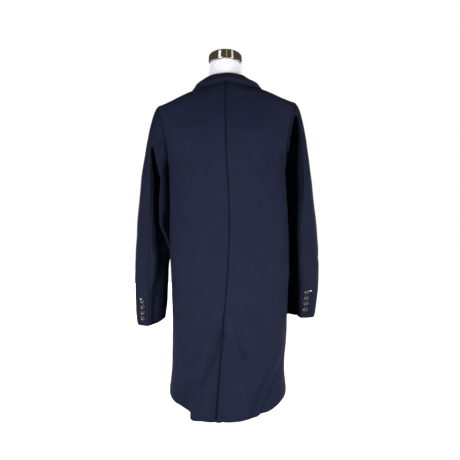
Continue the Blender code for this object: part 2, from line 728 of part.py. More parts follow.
def form_stand(neck_foot, neck_axis):
    """Chrome neck cap, pole and round base."""
    soft = 0.002
    radius = NECK_RADIUS
    cap_profile = [
        (0.0, CAP_HEIGHT),
        (radius - soft, CAP_HEIGHT),
        (radius - soft * 0.3, CAP_HEIGHT - soft * 0.3),
        (radius, CAP_HEIGHT - soft),
        (radius, soft),
        (radius - soft * 0.3, soft * 0.3),
        (radius - soft, 0.0),
        (0.0, 0.0),
    ]
    cap = turned("form_neck_cap", cap_profile, 40, CHROME, 0.12, 1.0)
    cap.location = neck_foot + neck_axis * ((NECK_TOP_Z - neck_foot[2]) / neck_axis[2] + SEAT_GAP)
    cap.rotation_euler = (NECK_TILT, 0.0, 0.0)
    pole_top = FORM_FOOT_LEVEL - SEAT_GAP
    pole_foot = BASE_HEIGHT + SEAT_GAP
    pole_profile = [(0.0, pole_top), (POLE_RADIUS, pole_top), (POLE_RADIUS, pole_foot), (0.0, pole_foot)]
    turned("form_pole", pole_profile, 24, GREY_STEEL, 0.35, 1.0)
    base_profile = [
        (0.0, BASE_HEIGHT),
        (BASE_RADIUS - 0.004, BASE_HEIGHT),
        (BASE_RADIUS - 0.001, BASE_HEIGHT - 0.002),
        (BASE_RADIUS, BASE_HEIGHT - 0.005),
        (BASE_RADIUS, 0.0),
        (0.0, 0.0),
    ]
    turned("form_base", base_profile, 40, GREY_STEEL, 0.4, 1.0)


def main():
    for leftover in list(bpy.data.objects):
        bpy.data.objects.remove(leftover)
    group = bpy.data.collections.new("wool_coat_on_dress_form")
    bpy.context.scene.collection.children.link(group)
    back_panel("back_left", 1)
    back_panel("back_right", -1)
    front_panel("front_left", 1)
    front_panel("front_right", -1)
    vent_underlap()
    lapel("lapel_left", 1)
    lapel("lapel_right", -1)
    collar()
    left_grid, left_normals = sleeve("left", 1, LEFT_SLEEVE, LEFT_BACK_SEAM)
    right_grid, right_normals = sleeve("right", -1, RIGHT_SLEEVE, RIGHT_BACK_SEAM)
    cuff_buttons("left", left_grid, left_normals, LEFT_BACK_SEAM, FIRST_BUTTON_LEFT_Z)
    cuff_buttons("right", right_grid, right_normals, RIGHT_BACK_SEAM, FIRST_BUTTON_RIGHT_Z)
    front_buttons()
    neck_foot, neck_axis = form_torso()
    form_stand(neck_foot, neck_axis)


main()
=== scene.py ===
"""Navy wool coat, seen from behind on a white dress form: cloth, sewing and finishes on its solids."""

import math

import bmesh
import bpy
import numpy as np
from mathutils import Matrix, Vector, noise
from mathutils.bvhtree import BVHTree
from mathutils.kdtree import KDTree


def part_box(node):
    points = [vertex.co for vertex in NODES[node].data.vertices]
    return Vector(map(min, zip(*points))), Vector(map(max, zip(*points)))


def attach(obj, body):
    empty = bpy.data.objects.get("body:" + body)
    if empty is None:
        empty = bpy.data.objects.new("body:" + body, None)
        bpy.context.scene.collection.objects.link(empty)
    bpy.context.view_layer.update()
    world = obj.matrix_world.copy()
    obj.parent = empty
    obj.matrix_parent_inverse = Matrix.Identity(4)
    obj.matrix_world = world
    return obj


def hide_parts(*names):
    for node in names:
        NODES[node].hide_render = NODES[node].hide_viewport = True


bl_info = {
    "name": "Navy wool coat",
    "version": (1, 0, 0),
    "blender": (4, 5, 0),
    "location": "View3D > Sidebar > Coat",
    "description": "Dresses the packed coat and its dress form with cloth, sewing and finishes",
    "category": "Object",
}

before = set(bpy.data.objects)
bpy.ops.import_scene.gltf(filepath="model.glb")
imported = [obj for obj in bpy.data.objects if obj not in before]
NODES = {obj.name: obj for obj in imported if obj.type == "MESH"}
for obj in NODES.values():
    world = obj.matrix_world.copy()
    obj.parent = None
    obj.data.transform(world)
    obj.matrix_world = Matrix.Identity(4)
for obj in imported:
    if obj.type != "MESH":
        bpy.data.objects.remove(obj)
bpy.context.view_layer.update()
BODY = "root"

# The camera that took the photograph, and its square picture
CAMERA_PLACE = Vector((-0.0085, 1.15, 0.481))
PICTURE = 460
FOCUS_PIXELS = 408

# Soft lights, as name, turn from straight behind, distance, z, width, height, power and colour
WHITE, GOLD = (1.0, 1.0, 1.0), (1.0, 0.80, 0.16)
SOFT_LIGHTS = (
    ("key_softbox", math.radians(36), 1.50, 0.18, 0.30, 0.30, 22.0, WHITE),
    ("fill_softbox", math.radians(-44), 1.50, 0.18, 0.30, 0.30, 19.6, WHITE),
    ("left_softbox", math.radians(39), 2.3, 1.95, 0.60, 1.2, 4.2, WHITE),
    ("right_softbox", math.radians(-52), 2.3, 1.95, 0.45, 1.2, 2.2, WHITE),
    ("gold_strip", math.radians(-10.5), 2.4, 2.25, 0.16, 1.2, 0.55, GOLD),
    ("side_left_softbox", math.radians(103), 2.6, 0.47, 1.0, 0.9, 9.0, WHITE),
    ("side_right_softbox", math.radians(-103), 2.6, 0.47, 1.0, 0.9, 9.0, WHITE),
    ("front_left_softbox", math.radians(150), 2.6, 0.47, 1.4, 0.9, 44.0, WHITE),
    ("front_right_softbox", math.radians(-135), 2.6, 0.47, 1.4, 0.9, 30.0, WHITE),
)
LIGHT_AIM = Vector((0.0, 0.0, 0.50))
ROOM_SHADE = (0.102, 0.089, 0.062)
ROOM_FILL = (0.015, 0.015, 0.016)

# Cloth: how its mesh is made finer, how the back turns to the front, and how deep a crease starts
MERGE = 1e-5
JOIN_BEND, JOIN_SKEW = math.radians(40), math.radians(80)
RIM_ANGLE = math.radians(50)
RIM_CREASE, RIM_WHOLE = 0.47, 0.999
FINE = 3
SIDE_FADE = 0.035
SIDE_LEAN = 0.55
CREASE_START = 0.45

# Slow unevenness, as height and size of each ripple, and where the shoulders lie calmer
BODY_RIPPLES = ((0.0012, 0.075), (0.0004, 0.024))
SLEEVE_RIPPLES = ((0.0010, 0.060), (0.0004, 0.020))
CALM_FOOT, CALM_REACH, CALM_SHARE = 0.80, 0.06, 0.8

# Creases in the back and the fronts, as name, start and end (x, z), half width, depth (+ stands out)
BACK_CREASES = (
    ("right of the vent", (-0.026, 0.240), (-0.047, 0.168), 0.008, -0.0080),
    ("right of the vent ridge", (-0.044, 0.240), (-0.066, 0.165), 0.010, 0.0016),
    ("vent roll", (-0.006, 0.215), (0.012, 0.020), 0.011, 0.0016),
    ("drag", (0.062, 0.108), (0.010, 0.220), 0.0085, -0.0095),
    ("drag shoulder", (0.030, 0.236), (0.082, 0.124), 0.012, 0.0036),
    ("flare", (0.056, 0.090), (0.044, 0.030), 0.016, 0.0085),
    ("vent foot", (0.0155, 0.066), (0.0085, 0.006), 0.0045, -0.0036),
    ("right hem one", (-0.146, 0.140), (-0.088, 0.020), 0.009, -0.0085),
    ("right hem two", (-0.122, 0.140), (-0.066, 0.020), 0.008, -0.0070),
    ("right hem ridge", (-0.136, 0.130), (-0.078, 0.020), 0.008, 0.0034),
    ("right skirt short", (-0.080, 0.340), (-0.098, 0.264), 0.008, -0.0022),
    ("left skirt short", (0.074, 0.300), (0.062, 0.246), 0.010, -0.0018),
    ("left hem dent", (0.134, 0.180), (0.122, 0.030), 0.011, -0.0036),
    ("left skirt long", (0.108, 0.420), (0.094, 0.190), 0.018, -0.0026),
    ("right skirt long", (-0.098, 0.400), (-0.110, 0.170), 0.018, -0.0026),
    ("waist left one", (0.054, 0.572), (0.026, 0.545), 0.007, -0.0015),
    ("waist left two", (0.058, 0.548), (0.030, 0.520), 0.007, -0.0014),
    ("waist right", (-0.060, 0.560), (-0.034, 0.528), 0.008, -0.0010),
    ("seat left", (0.100, 0.500), (0.030, 0.455), 0.013, -0.0012),
    ("seat right", (-0.104, 0.505), (-0.040, 0.450), 0.013, -0.0011),
    ("blade left", (0.138, 0.690), (0.086, 0.640), 0.012, -0.0020),
    ("blade right", (-0.140, 0.700), (-0.088, 0.640), 0.012, -0.0020),
    ("underarm left", (0.148, 0.640), (0.120, 0.520), 0.010, -0.0018),
    ("underarm right", (-0.150, 0.640), (-0.124, 0.520), 0.010, -0.0018),
    ("below the collar", (0.050, 0.835), (-0.050, 0.835), 0.010, -0.0009),
    ("right side fullness", (-0.152, 0.660), (-0.156, 0.360), 0.020, 0.0060),
)
FRONT_CREASES = (
    ("button pull left", (0.020, 0.520), (0.120, 0.480), 0.010, -0.0029),
    ("button pull right", (-0.020, 0.522), (-0.122, 0.490), 0.010, -0.0029),
    ("second pull left", (0.024, 0.410), (0.110, 0.370), 0.012, -0.0022),
    ("second pull right", (-0.022, 0.410), (-0.116, 0.374), 0.012, -0.0022),
    ("skirt left", (0.070, 0.330), (0.090, 0.040), 0.016, -0.0054),
    ("skirt left ridge", (0.048, 0.300), (0.064, 0.040), 0.015, 0.0045),
    ("skirt right", (-0.084, 0.320), (-0.098, 0.040), 0.016, -0.0051),
    ("skirt right ridge", (-0.056, 0.290), (-0.072, 0.040), 0.014, 0.0042),
    ("chest left", (0.136, 0.690), (0.092, 0.630), 0.012, -0.0032),
    ("chest right", (-0.136, 0.694), (-0.090, 0.632), 0.012, -0.0032),
    ("side left", (0.146, 0.620), (0.120, 0.500), 0.010, -0.0026),
    ("side right", (-0.146, 0.620), (-0.122, 0.505), 0.010, -0.0026),
)

# Each sleeve's middle line, from the shoulder to the cuff, as z, x, y
SLEEVE_LINES = {
    "left": ((0.800, 0.180, 0.0), (0.600, 0.204, -0.002), (0.440, 0.2105, -0.0065),
             (0.320, 0.2138, -0.0135), (0.217, 0.2160, -0.021)),
    "right": ((0.800, -0.180, 0.0), (0.600, -0.2028, -0.002), (0.440, -0.2153, -0.007),
              (0.330, -0.2183, -0.014), (0.239, -0.2128, -0.0215)),
}
SLEEVE_RADIUS = 0.042

# Creases round a sleeve, as name, start and end (degrees, z), half width, depth. 0 degrees faces away
# from the body, 90 straight back, 180 the body, and -90 straight ahead.
SLEEVE_CREASES = {
    "left": (
        ("cuff break", (168, 0.324), (96, 0.305), 0.006, -0.0050),
        ("cuff break ridge", (168, 0.338), (104, 0.320), 0.007, 0.0014),
        ("elbow one", (158, 0.474), (92, 0.450), 0.010, -0.0024),
        ("elbow two", (165, 0.428), (104, 0.414), 0.009, -0.0020),
        ("elbow three", (84, 0.498), (36, 0.470), 0.011, -0.0014),
        ("forearm", (72, 0.400), (58, 0.330), 0.009, -0.0012),
        ("upper arm", (132, 0.640), (78, 0.556), 0.012, -0.0022),
        ("upper arm two", (142, 0.590), (96, 0.530), 0.010, -0.0018),
        ("head", (28, 0.736), (18, 0.640), 0.014, -0.0012),
        ("front elbow one", (-154, 0.462), (-78, 0.430), 0.010, -0.0030),
        ("front elbow two", (-150, 0.424), (-84, 0.404), 0.009, -0.0024),
        ("front elbow ridge", (-146, 0.444), (-82, 0.418), 0.008, 0.0018),
        ("front forearm", (-140, 0.340), (-80, 0.322), 0.010, -0.0020),
        ("outside", (2, 0.590), (-14, 0.350), 0.014, -0.0012),
        ("inside", (180, 0.680), (182, 0.420), 0.024, 0.0080),
        ("hollow edge", (140, 0.680), (146, 0.540), 0.012, 0.0050),
    ),
    "right": (
        ("cuff break", (160, 0.338), (100, 0.322), 0.008, -0.0020),
        ("elbow one", (160, 0.482), (94, 0.462), 0.010, -0.0024),
        ("elbow two", (168, 0.440), (98, 0.424), 0.009, -0.0022),
        ("elbow ridge", (164, 0.460), (98, 0.444), 0.008, 0.0014),
        ("elbow three", (82, 0.430), (30, 0.404), 0.011, -0.0014),
        ("forearm", (66, 0.392), (52, 0.330), 0.009, -0.0012),
        ("upper arm", (134, 0.648), (80, 0.560), 0.012, -0.0022),
        ("upper arm two", (140, 0.596), (98, 0.540), 0.010, -0.0016),
        ("head", (30, 0.740), (16, 0.646), 0.014, -0.0012),
        ("front elbow one", (-152, 0.470), (-80, 0.440), 0.010, -0.0030),
        ("front elbow two", (-148, 0.430), (-82, 0.412), 0.009, -0.0024),
        ("front elbow ridge", (-146, 0.450), (-82, 0.426), 0.008, 0.0018),
        ("front forearm", (-138, 0.350), (-78, 0.336), 0.010, -0.0020),
        ("outside", (4, 0.600), (-10, 0.360), 0.014, -0.0012),
        ("inside", (180, 0.680), (182, 0.260), 0.024, 0.0090),
    ),
}

# The deep fold behind each arm, from the top, as z, x of its outer edge and x of its inner edge
ARM_FOLDS = {
    "left": ((0.715, 0.204, 0.202), (0.678, 0.203, 0.196), (0.618, 0.2025, 0.1825),
             (0.560, 0.2015, 0.187), (0.495, 0.2000, 0.186), (0.459, 0.199, 0.170),
             (0.426, 0.196, 0.160), (0.394, 0.192, 0.158), (0.350, 0.196, 0.156),
             (0.316, 0.206, 0.156), (0.240, 0.209, 0.156)),
    "right": ((0.805, -0.190, -0.188), (0.740, -0.201, -0.174), (0.598, -0.205, -0.155),
              (0.525, -0.197, -0.155), (0.470, -0.194, -0.160), (0.426, -0.195, -0.155),
              (0.372, -0.196, -0.155), (0.330, -0.200, -0.155), (0.239, -0.202, -0.155)),
}

# How deep that fold is at each height, as z and share of its whole depth
ARM_FOLD_OPEN = {
    "left": ((0.215, 0.25), (0.320, 0.36), (0.375, 0.38), (0.430, 0.44), (0.480, 0.72), (0.540, 1.0)),
    "right": ((0.235, 0.55), (0.320, 0.90), (0.400, 1.0)),
}
ARM_FOLD_DEPTH, ARM_FOLD_ROLL, ARM_FOLD_FREE, ARM_FOLD_TOP = 0.058, 0.0080, 0.018, 0.03

# The cuffs: z of each vent's top, how its two edges lap, and the calmer cloth round it, in degrees
SLEEVE_SEAMS = {"left": 90.0, "right": 107.0}
CUFF_VENT_TOP, CUFF_VENT_EASE = {"left": 0.312, "right": 0.336}, 0.02
CUFF_LIFT, CUFF_SINK, CUFF_LAP, CUFF_REACH = 0.0009, -0.0027, 0.0034, 0.010
CUFF_CALM, CUFF_CALM_OUTER, CUFF_CALM_INNER = 0.03, 50, 20
CUFF_TIP, CUFF_TIP_REACH = 0.0015, 0.03

# How far each cuff rises on its inner side, and in degrees how that starts and ends round the sleeve
CUFF_RISE, CUFF_RISE_REACH = {"left": 0.013, "right": 0.0}, 0.07
CUFF_RISE_WHOLE, CUFF_RISE_END, CUFF_RISE_FADE = 75, 340, 90

# The sleeve heads: where their creases end, and how far they are drawn in to the armhole
HEAD_TOP, HEAD_REACH = 0.80, 0.10
HEAD_CLOSE = {"left": 0.0008, "right": 0.0030}
HEAD_CLOSE_FOOT, HEAD_CLOSE_REACH, HEAD_CLOSE_OUT, HEAD_CLOSE_FADE = 0.775, 0.03, 0.205, 0.02

# The vent at the centre back, as (z, x) of its line, and how its edges and the left hem are set
VENT_LINE = ((0.0, 0.0280), (0.040, 0.0255), (0.120, 0.0180), (0.180, 0.0129), (0.255, 0.0070),
             (0.320, 0.0015))
VENT_TOP, VENT_EASE, VENT_REACH = 0.300, 0.05, 0.016
VENT_SET = {"right": 0.0012, "left": -0.0026, "under": -0.0042}
HEM_STEP_X, HEM_STEP_TOP, HEM_STEP_HALF, HEM_STEP_EASE = 0.0925, 0.085, 0.024, 0.004
HEM_OUT, HEM_IN = 0.0045, 0.0060
HEM_DROP_INNER, HEM_DROP_OUTER = 0.0140, 0.0050

# The cloth that rises beside the neck, as x where that starts, is whole, begins to end and ends
SHOULDER_RISE, SHOULDER_RISE_FOOT, SHOULDER_RISE_REACH = 0.0050, 0.79, 0.04
SHOULDER_RISE_SPAN = (0.050, 0.075, 0.095, 0.160)

# How far the collar is set lower, as x and drop, along its roll and along the edge of its fall
COLLAR_ROLL_DROP = ((-0.090, 0.0026), (-0.074, 0.0092), (-0.060, 0.0062), (-0.045, 0.0036),
                    (-0.020, 0.0056), (0.015, 0.0056), (0.040, 0.0018), (0.054, 0.0006),
                    (0.070, 0.0034), (0.090, -0.0020))
COLLAR_EDGE_DROP = ((-0.085, 0.0085), (-0.067, 0.0075), (-0.050, 0.0010), (0.0, -0.0017),
                    (0.050, 0.0010), (0.067, 0.0055), (0.085, 0.0050))

# The collar's fall, as its distance from the neck's axis, and the heights of its edge and its roll
FALL_START, FALL_WIDEN, FALL_EASE = 0.0725, 0.0145, 0.010
FALL_TOP, FALL_REACH, ROLL_FOOT, ROLL_REACH = 0.892, 0.020, 0.876, 0.024
COLLAR_FRONT, COLLAR_FRONT_FADE = -0.005, 0.02
COLLAR_PRESS = 0.0050

# Pressed edges and seams, the sleeves' edges tucked into the armholes, and painted shade along the seams,
# full down the centre back and vent, and over the whole sleeves
PRESS_REACH, PRESS_DEPTH = 0.0042, 0.0013
SEAM_GROW = 0.0005
ARMHOLE_FOOT, ARMHOLE_REACH, ARMHOLE_TUCK, ARMHOLE_SINK = 0.680, 0.02, 0.0022, 0.35
SEAM_SHADE_REACH, SEAM_SHADE, SEAM_DARKEST = 0.0014, 0.42, 0.30
# Painted shade over the whole of each sleeve, as a share of the seams' painted shade
SLEEVE_SHADE = 0.28
CENTRE_REACH = 0.012

# Buttons, as shares of their radius and thickness, and the strands of thread through their holes
BUTTON_PROFILE = ((0, 0), (0.86, 0), (0.97, 0.22), (1, 0.45), (0.99, 0.72), (0.93, 0.94), (0.85, 1),
                  (0.77, 0.96), (0.69, 0.78), (0.58, 0.64), (0.40, 0.60), (0, 0.60))
BUTTON_STEPS, BUTTON_SHARP = 48, math.radians(40)
HOLE_REACH, HOLE_RADIUS, HOLE_STEPS = 0.235, 0.105, 16
STRAND_SIDES, STRAND_APART, STRAND_SINK, STRAND_RISE, STRAND_SHARE = 8, 0.35, 0.1, 0.28, 0.9

# Cuff tacks, as side, pixel in the photograph and share of the whole length, and how their strands lie
CUFF_TACKS = (("left", (140.9, 299.0), 0.9), ("right", (310.6, 290.9), 1.0))
TACK_STRANDS, TACK_STEPS, TACK_PITCH, TACK_TAPER, TACK_SINK, TACK_RISE = 3, 12, 0.95, 0.12, 0.3, 1.1

# Front buttonholes: corners of each loop, how square its ends are, and how it lies past its button
BUTTONHOLE_STEPS, BUTTONHOLE_BLUNT = 24, 0.5
BUTTONHOLE_LEAD, BUTTONHOLE_HALF, BUTTONHOLE_LIFT = 0.004, 0.0016, 0.2

# Dress form and floor
FORM_MIDDLE = (0, 0, 0.4)
FORM_FINE, FORM_RIM = 2, 0.6
CHROME_ROUGH = 0.05
STEEL, STEEL_ROUGH = (0.48, 0.48, 0.50), 0.30
FLOOR_SIDES, FLOOR_RADIUS = 96, 14.0
FLOOR_SHADE, FLOOR_ROUGH = (0.90, 0.90, 0.90), 0.95


# Shapes of the cloth
def smooth(value):
    """0 to 1 with a soft start and end, for an array."""
    held = np.clip(value, 0.0, 1.0)
    return held * held * (3 - 2 * held)


def soft_step(past, width):
    """0 before a line and 1 past it, with the change spread over a width about the line."""
    return smooth(past / width + 0.5)


def crease_depth(table, across, up, scale=1.0):
    """How far cloth stands out at each place, from a table of creases that deepen over their first half."""
    total = np.zeros(len(across))
    for _, start, end, half_width, depth in table:
        run = ((end[0] - start[0]) * scale, end[1] - start[1])
        off = (across - start[0]) * scale
        if scale != 1.0:
            turn = 2 * math.pi * SLEEVE_RADIUS
            off = (off + turn / 2) % turn - turn / 2
        share = np.clip((off * run[0] + (up - start[1]) * run[1]) / (run[0] ** 2 + run[1] ** 2), 0, 1)
        gap = np.hypot(off - share * run[0], up - start[1] - share * run[1])
        deepen = CREASE_START + (1 - CREASE_START) * smooth(share * 2)
        total += depth * np.exp(-((gap / half_width) ** 2)) * deepen
    return total


def ripple(points, waves):
    """Slow unevenness of hung cloth, from the height and the size of each wave."""
    return sum(np.array([noise.noise(Vector(point) / size) for point in points]) * height
               for height, size in waves)


def body_out(points):
    """Which way is out of the body, level with each point."""
    out = points * (SIDE_LEAN, 1.0, 0.0)
    return out / np.linalg.norm(out, axis=1)[:, None]


def body_shift(points):
    """Moves points of the body cloth in or out along its creases."""
    x, y, z = points.T
    back = smooth(y / SIDE_FADE) * crease_depth(BACK_CREASES, x, z)
    front = smooth(-y / SIDE_FADE) * crease_depth(FRONT_CREASES, x, z)
    calm = 1 - CALM_SHARE * smooth((z - CALM_FOOT) / CALM_REACH)
    depth = (back + front + ripple(points, BODY_RIPPLES)) * calm
    moved = points + body_out(points) * depth[:, None]
    start, whole, ending, end = SHOULDER_RISE_SPAN
    across = np.abs(x)
    beside = smooth((across - start) / (whole - start)) * smooth((end - across) / (end - ending))
    moved[:, 2] += SHOULDER_RISE * beside * smooth((z - SHOULDER_RISE_FOOT) / SHOULDER_RISE_REACH)
    return moved


def back_shift(side):
    """The same for half of the back, with the vent lapped and the fold that drops the left hem."""

    def move(points):
        x, y, z = points.T
        seam = np.interp(z, *zip(*VENT_LINE))
        near = smooth(1 - np.abs(x - seam) / VENT_REACH) if side != "under" else 1.0
        depth = near * smooth((VENT_TOP - z) / VENT_EASE) * VENT_SET[side]
        beside = np.exp(-(((x - HEM_STEP_X) / HEM_STEP_HALF) ** 2))
        low = smooth((HEM_STEP_TOP - z) / HEM_STEP_TOP) * beside * (y > 0)
        inner = soft_step(HEM_STEP_X - x, HEM_STEP_EASE)
        depth = depth + low * (inner * HEM_OUT - (1 - inner) * HEM_IN)
        moved = body_shift(points) + body_out(points) * depth[:, None]
        moved[:, 2] -= low * (inner * HEM_DROP_INNER + (1 - inner) * HEM_DROP_OUTER)
        return moved

    return move


def collar_shift(points):
    """The same for the collar, with its fall pressed down on the back and its roll set lower."""
    moved = body_shift(points)
    x, y, z = points.T
    reach = np.hypot(x, y)
    turned = np.abs(x) / reach
    behind = smooth((y - COLLAR_FRONT) / COLLAR_FRONT_FADE)
    fall = smooth((reach - (FALL_START + FALL_WIDEN * turned)) / FALL_EASE) * behind
    low = smooth((FALL_TOP - z) / FALL_REACH)
    moved[:, :2] -= points[:, :2] / reach[:, None] * (COLLAR_PRESS * fall * low)[:, None]
    moved[:, 2] -= np.interp(x, *zip(*COLLAR_EDGE_DROP)) * fall * low
    roll = smooth((z - ROLL_FOOT) / ROLL_REACH) * behind
    moved[:, 2] -= np.interp(x, *zip(*COLLAR_ROLL_DROP)) * roll
    return moved


def sleeve_out(side):
    """Which way is out of a sleeve, level with each point."""
    line = np.array(sorted(SLEEVE_LINES[side]))

    def out(points):
        middle = np.stack([np.interp(points[:, 2], line[:, 0], line[:, k]) for k in (1, 2)], axis=1)
        way = np.concatenate((points[:, :2] - middle, np.zeros((len(points), 1))), axis=1)
        return way / np.maximum(np.linalg.norm(way, axis=1), 1e-6)[:, None]

    return out


def arm_fold(side, points, middle_y):
    """How far each point of a sleeve is set in by the deep fold behind the arm."""
    up, outer, inner = (np.array(part) for part in zip(*sorted(ARM_FOLDS[side])))
    x, y, z = points.T
    sign = 1 if side == "left" else -1
    from_outer = (np.interp(z, up, outer) - x) * sign
    from_inner = (x - np.interp(z, up, inner)) * sign
    open_here = np.interp(z, *zip(*ARM_FOLD_OPEN[side])) * smooth((up[-1] - z) / ARM_FOLD_TOP)
    share = soft_step(from_outer, ARM_FOLD_ROLL) * soft_step(from_inner, ARM_FOLD_ROLL)
    return ARM_FOLD_DEPTH * share * open_here * smooth((y - middle_y) / ARM_FOLD_FREE)


def sleeve_shift(side, upper):
    """The same for a sleeve's outer or under half, with the cuff vent's edges lapped."""
    sign = 1 if side == "left" else -1

    def move(points):
        z = points[:, 2]
        out = sleeve_out(side)(points)
        around = np.degrees(np.arctan2(out[:, 1], out[:, 0] * sign))
        scale = math.radians(1) * SLEEVE_RADIUS
        depth = crease_depth(SLEEVE_CREASES[side], around, z, scale)
        depth += ripple(points, SLEEVE_RIPPLES)
        depth *= smooth((HEAD_TOP - z) / HEAD_REACH)
        top = CUFF_VENT_TOP[side]
        seam = SLEEVE_SEAMS[side]
        at_vent = (around > seam - CUFF_CALM_OUTER) * (around < seam + CUFF_CALM_INNER)
        depth *= 1 - (1 - smooth((z - top) / CUFF_CALM)) * at_vent
        near = smooth(1 - np.abs(around - seam) * scale / CUFF_REACH)
        near *= smooth((top - z) / CUFF_VENT_EASE)
        depth += near * (CUFF_LIFT if upper else CUFF_SINK)
        moved = points + out * depth[:, None]
        if upper:
            moved[:, 2] -= CUFF_TIP * near * smooth((z.min() + CUFF_TIP_REACH - z) / CUFF_TIP_REACH)
        else:
            moved[:, 0] += out[:, 1] * sign * CUFF_LAP * near
            moved[:, 1] -= out[:, 0] * sign * CUFF_LAP * near
        levels, _, middles = zip(*sorted(SLEEVE_LINES[side]))
        moved[:, 1] -= arm_fold(side, moved, np.interp(z, levels, middles))
        turned = around % 360
        inner = smooth((turned - seam) / CUFF_RISE_WHOLE)
        inner *= smooth((CUFF_RISE_END - turned) / CUFF_RISE_FADE)
        low = smooth((z.min() + CUFF_RISE_REACH - z) / CUFF_RISE_REACH)
        moved[:, 2] += CUFF_RISE[side] * inner * low
        head = smooth((z - HEAD_CLOSE_FOOT) / HEAD_CLOSE_REACH)
        head *= smooth((HEAD_CLOSE_OUT - np.abs(points[:, 0])) / HEAD_CLOSE_FADE)
        moved[:, 0] -= sign * HEAD_CLOSE[side] * head
        return moved

    return move


def link(mesh, name):
    """A new object at the origin that holds the mesh."""
    made = bpy.data.objects.new(name, mesh)
    bpy.context.scene.collection.objects.link(made)
    return made


def softened(node, name, level, rim=RIM_CREASE):
    """A finer copy of a solid's mesh, with its sharp edges rolled."""
    bm = bmesh.new()
    bm.from_mesh(NODES[node].data)
    bmesh.ops.remove_doubles(bm, verts=bm.verts, dist=MERGE)
    bmesh.ops.join_triangles(bm, faces=bm.faces, angle_face_threshold=JOIN_BEND,
                             angle_shape_threshold=JOIN_SKEW)
    crease = bm.edges.layers.float.new("crease_edge")
    corner = bm.verts.layers.float.new("crease_vert")
    edging = bm.verts.layers.float.new("rim")
    for edge in bm.edges:
        edge[crease] = rim if edge.calc_face_angle(0.0) > RIM_ANGLE else 0.0
    for vert in bm.verts:
        sharp = sum(edge[crease] > 0 for edge in vert.link_edges)
        vert[edging] = float(sharp > 0)
        vert[corner] = float(sharp > 2)
    mesh = bpy.data.meshes.new(name)
    bm.to_mesh(mesh)
    bm.free()
    rough = link(mesh, name)
    finer = rough.modifiers.new("Finer", "SUBSURF")
    finer.levels = finer.render_levels = level
    made = bpy.data.meshes.new_from_object(rough.evaluated_get(bpy.context.evaluated_depsgraph_get()))
    rough.modifiers.clear()
    rough.data = made
    bpy.data.meshes.remove(mesh)
    made.name = name
    for left_over in ("custom_normal", "crease_edge", "crease_vert", "sharp_edge", "sharp_face"):
        if left_over in made.attributes:
            made.attributes.remove(made.attributes[left_over])
    made.shade_smooth()
    return rough


def move_points(piece, move):
    """Puts a piece's points through a function of their places."""
    points = np.zeros(len(piece.data.vertices) * 3)
    piece.data.vertices.foreach_get("co", points)
    piece.data.vertices.foreach_set("co", move(points.reshape(-1, 3)).ravel())
    piece.data.update()


def press_edges(piece, out, tuck, painted_shade_all_over):
    """Presses a piece thinner along its edges and seams, and tucks it in by some length at the armhole.

    It gets painted shade along those lines, full down the centre back and vent, and a share of painted
    shade all over.
    """
    mesh = piece.data
    count = len(mesh.vertices)
    points, normals, rim = np.zeros(count * 3), np.zeros(count * 3), np.zeros(count)
    mesh.vertices.foreach_get("co", points)
    mesh.vertices.foreach_get("normal", normals)
    mesh.attributes["rim"].data.foreach_get("value", rim)
    points, normals = points.reshape(-1, 3), normals.reshape(-1, 3)
    edge = points[rim > RIM_WHOLE]
    tree = KDTree(len(edge))
    for index, point in enumerate(edge):
        tree.insert(point, index)
    tree.balance()
    gap = np.array([tree.find(point)[2] for point in points])
    way = out(points)
    facing = (normals * way).sum(axis=1)
    near = np.exp(-((gap / PRESS_REACH) ** 2))
    # Painted shade along seams and edges, full down the centre back and vent, standing in for the shadow in
    # their grooves
    centre = np.abs(points[:, 0] - np.interp(points[:, 2], *zip(*VENT_LINE))) < CENTRE_REACH
    shade = np.where(centre & (points[:, 1] > 0), 1.0, SEAM_SHADE)
    shade *= np.exp(-((gap / SEAM_SHADE_REACH) ** 2))
    tucked = tuck * smooth((points[:, 2] - ARMHOLE_FOOT) / ARMHOLE_REACH)
    points -= way * (near * (PRESS_DEPTH * facing + ARMHOLE_SINK * tucked))[:, None]
    points += normals * (near * (SEAM_GROW + tucked) * (1 - np.abs(facing)))[:, None]
    mesh.vertices.foreach_set("co", points.ravel())
    mesh.attributes.remove(mesh.attributes["rim"])
    # Painted shade over the whole piece by its share, laid under the seams' painted shade
    shade = painted_shade_all_over + (1 - painted_shade_all_over) * shade
    mesh.attributes.new("painted_shade", "FLOAT", "POINT").data.foreach_set("value", shade)
    mesh.update()


def settle(piece, material, slot, *nodes):
    """Gives a finished piece its material and its body, and hides the solids that it stands for. The slot
    is not used.
    """
    piece.data.materials.clear()
    piece.data.materials.append(material)
    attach(piece, BODY)
    if nodes:
        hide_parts(*nodes)
    return piece


def cloth_piece(node, move, out=body_out):
    """One cut piece of the coat, on its solid's form, with its creases, its edges and seams made thinner,
    and painted shade along them and all over the sleeves.
    """
    piece = softened(node, node + "_cloth", FINE)
    move_points(piece, move)
    sleeve = node.startswith("sleeve")
    press_edges(piece, out, ARMHOLE_TUCK if sleeve else 0.0, SLEEVE_SHADE if sleeve else 0.0)
    settle(piece, wool(), "wool", node)


# Finishes
def wire(node, **values):
    """Sets a node up, with each named input given a value or joined to another node's output."""
    for name, value in values.items():
        if hasattr(node, name):
            setattr(node, name, value)
            continue
        socket = node.inputs[name.replace("_", " ")]
        if isinstance(value, bpy.types.NodeSocket):
            node.id_data.links.new(value, socket)
        else:
            socket.default_value = value
    return node


def add_node(nodes, kind, **values):
    """A new shader node, set and joined."""
    return wire(nodes.new(kind), **values)


def own_place(nodes):
    """A point's place on its piece."""
    return nodes.new("ShaderNodeTexCoord").outputs["Object"]


def noisy(nodes, **values):
    """A noise value at each place."""
    return add_node(nodes, "ShaderNodeTexNoise", **values).outputs["Fac"]


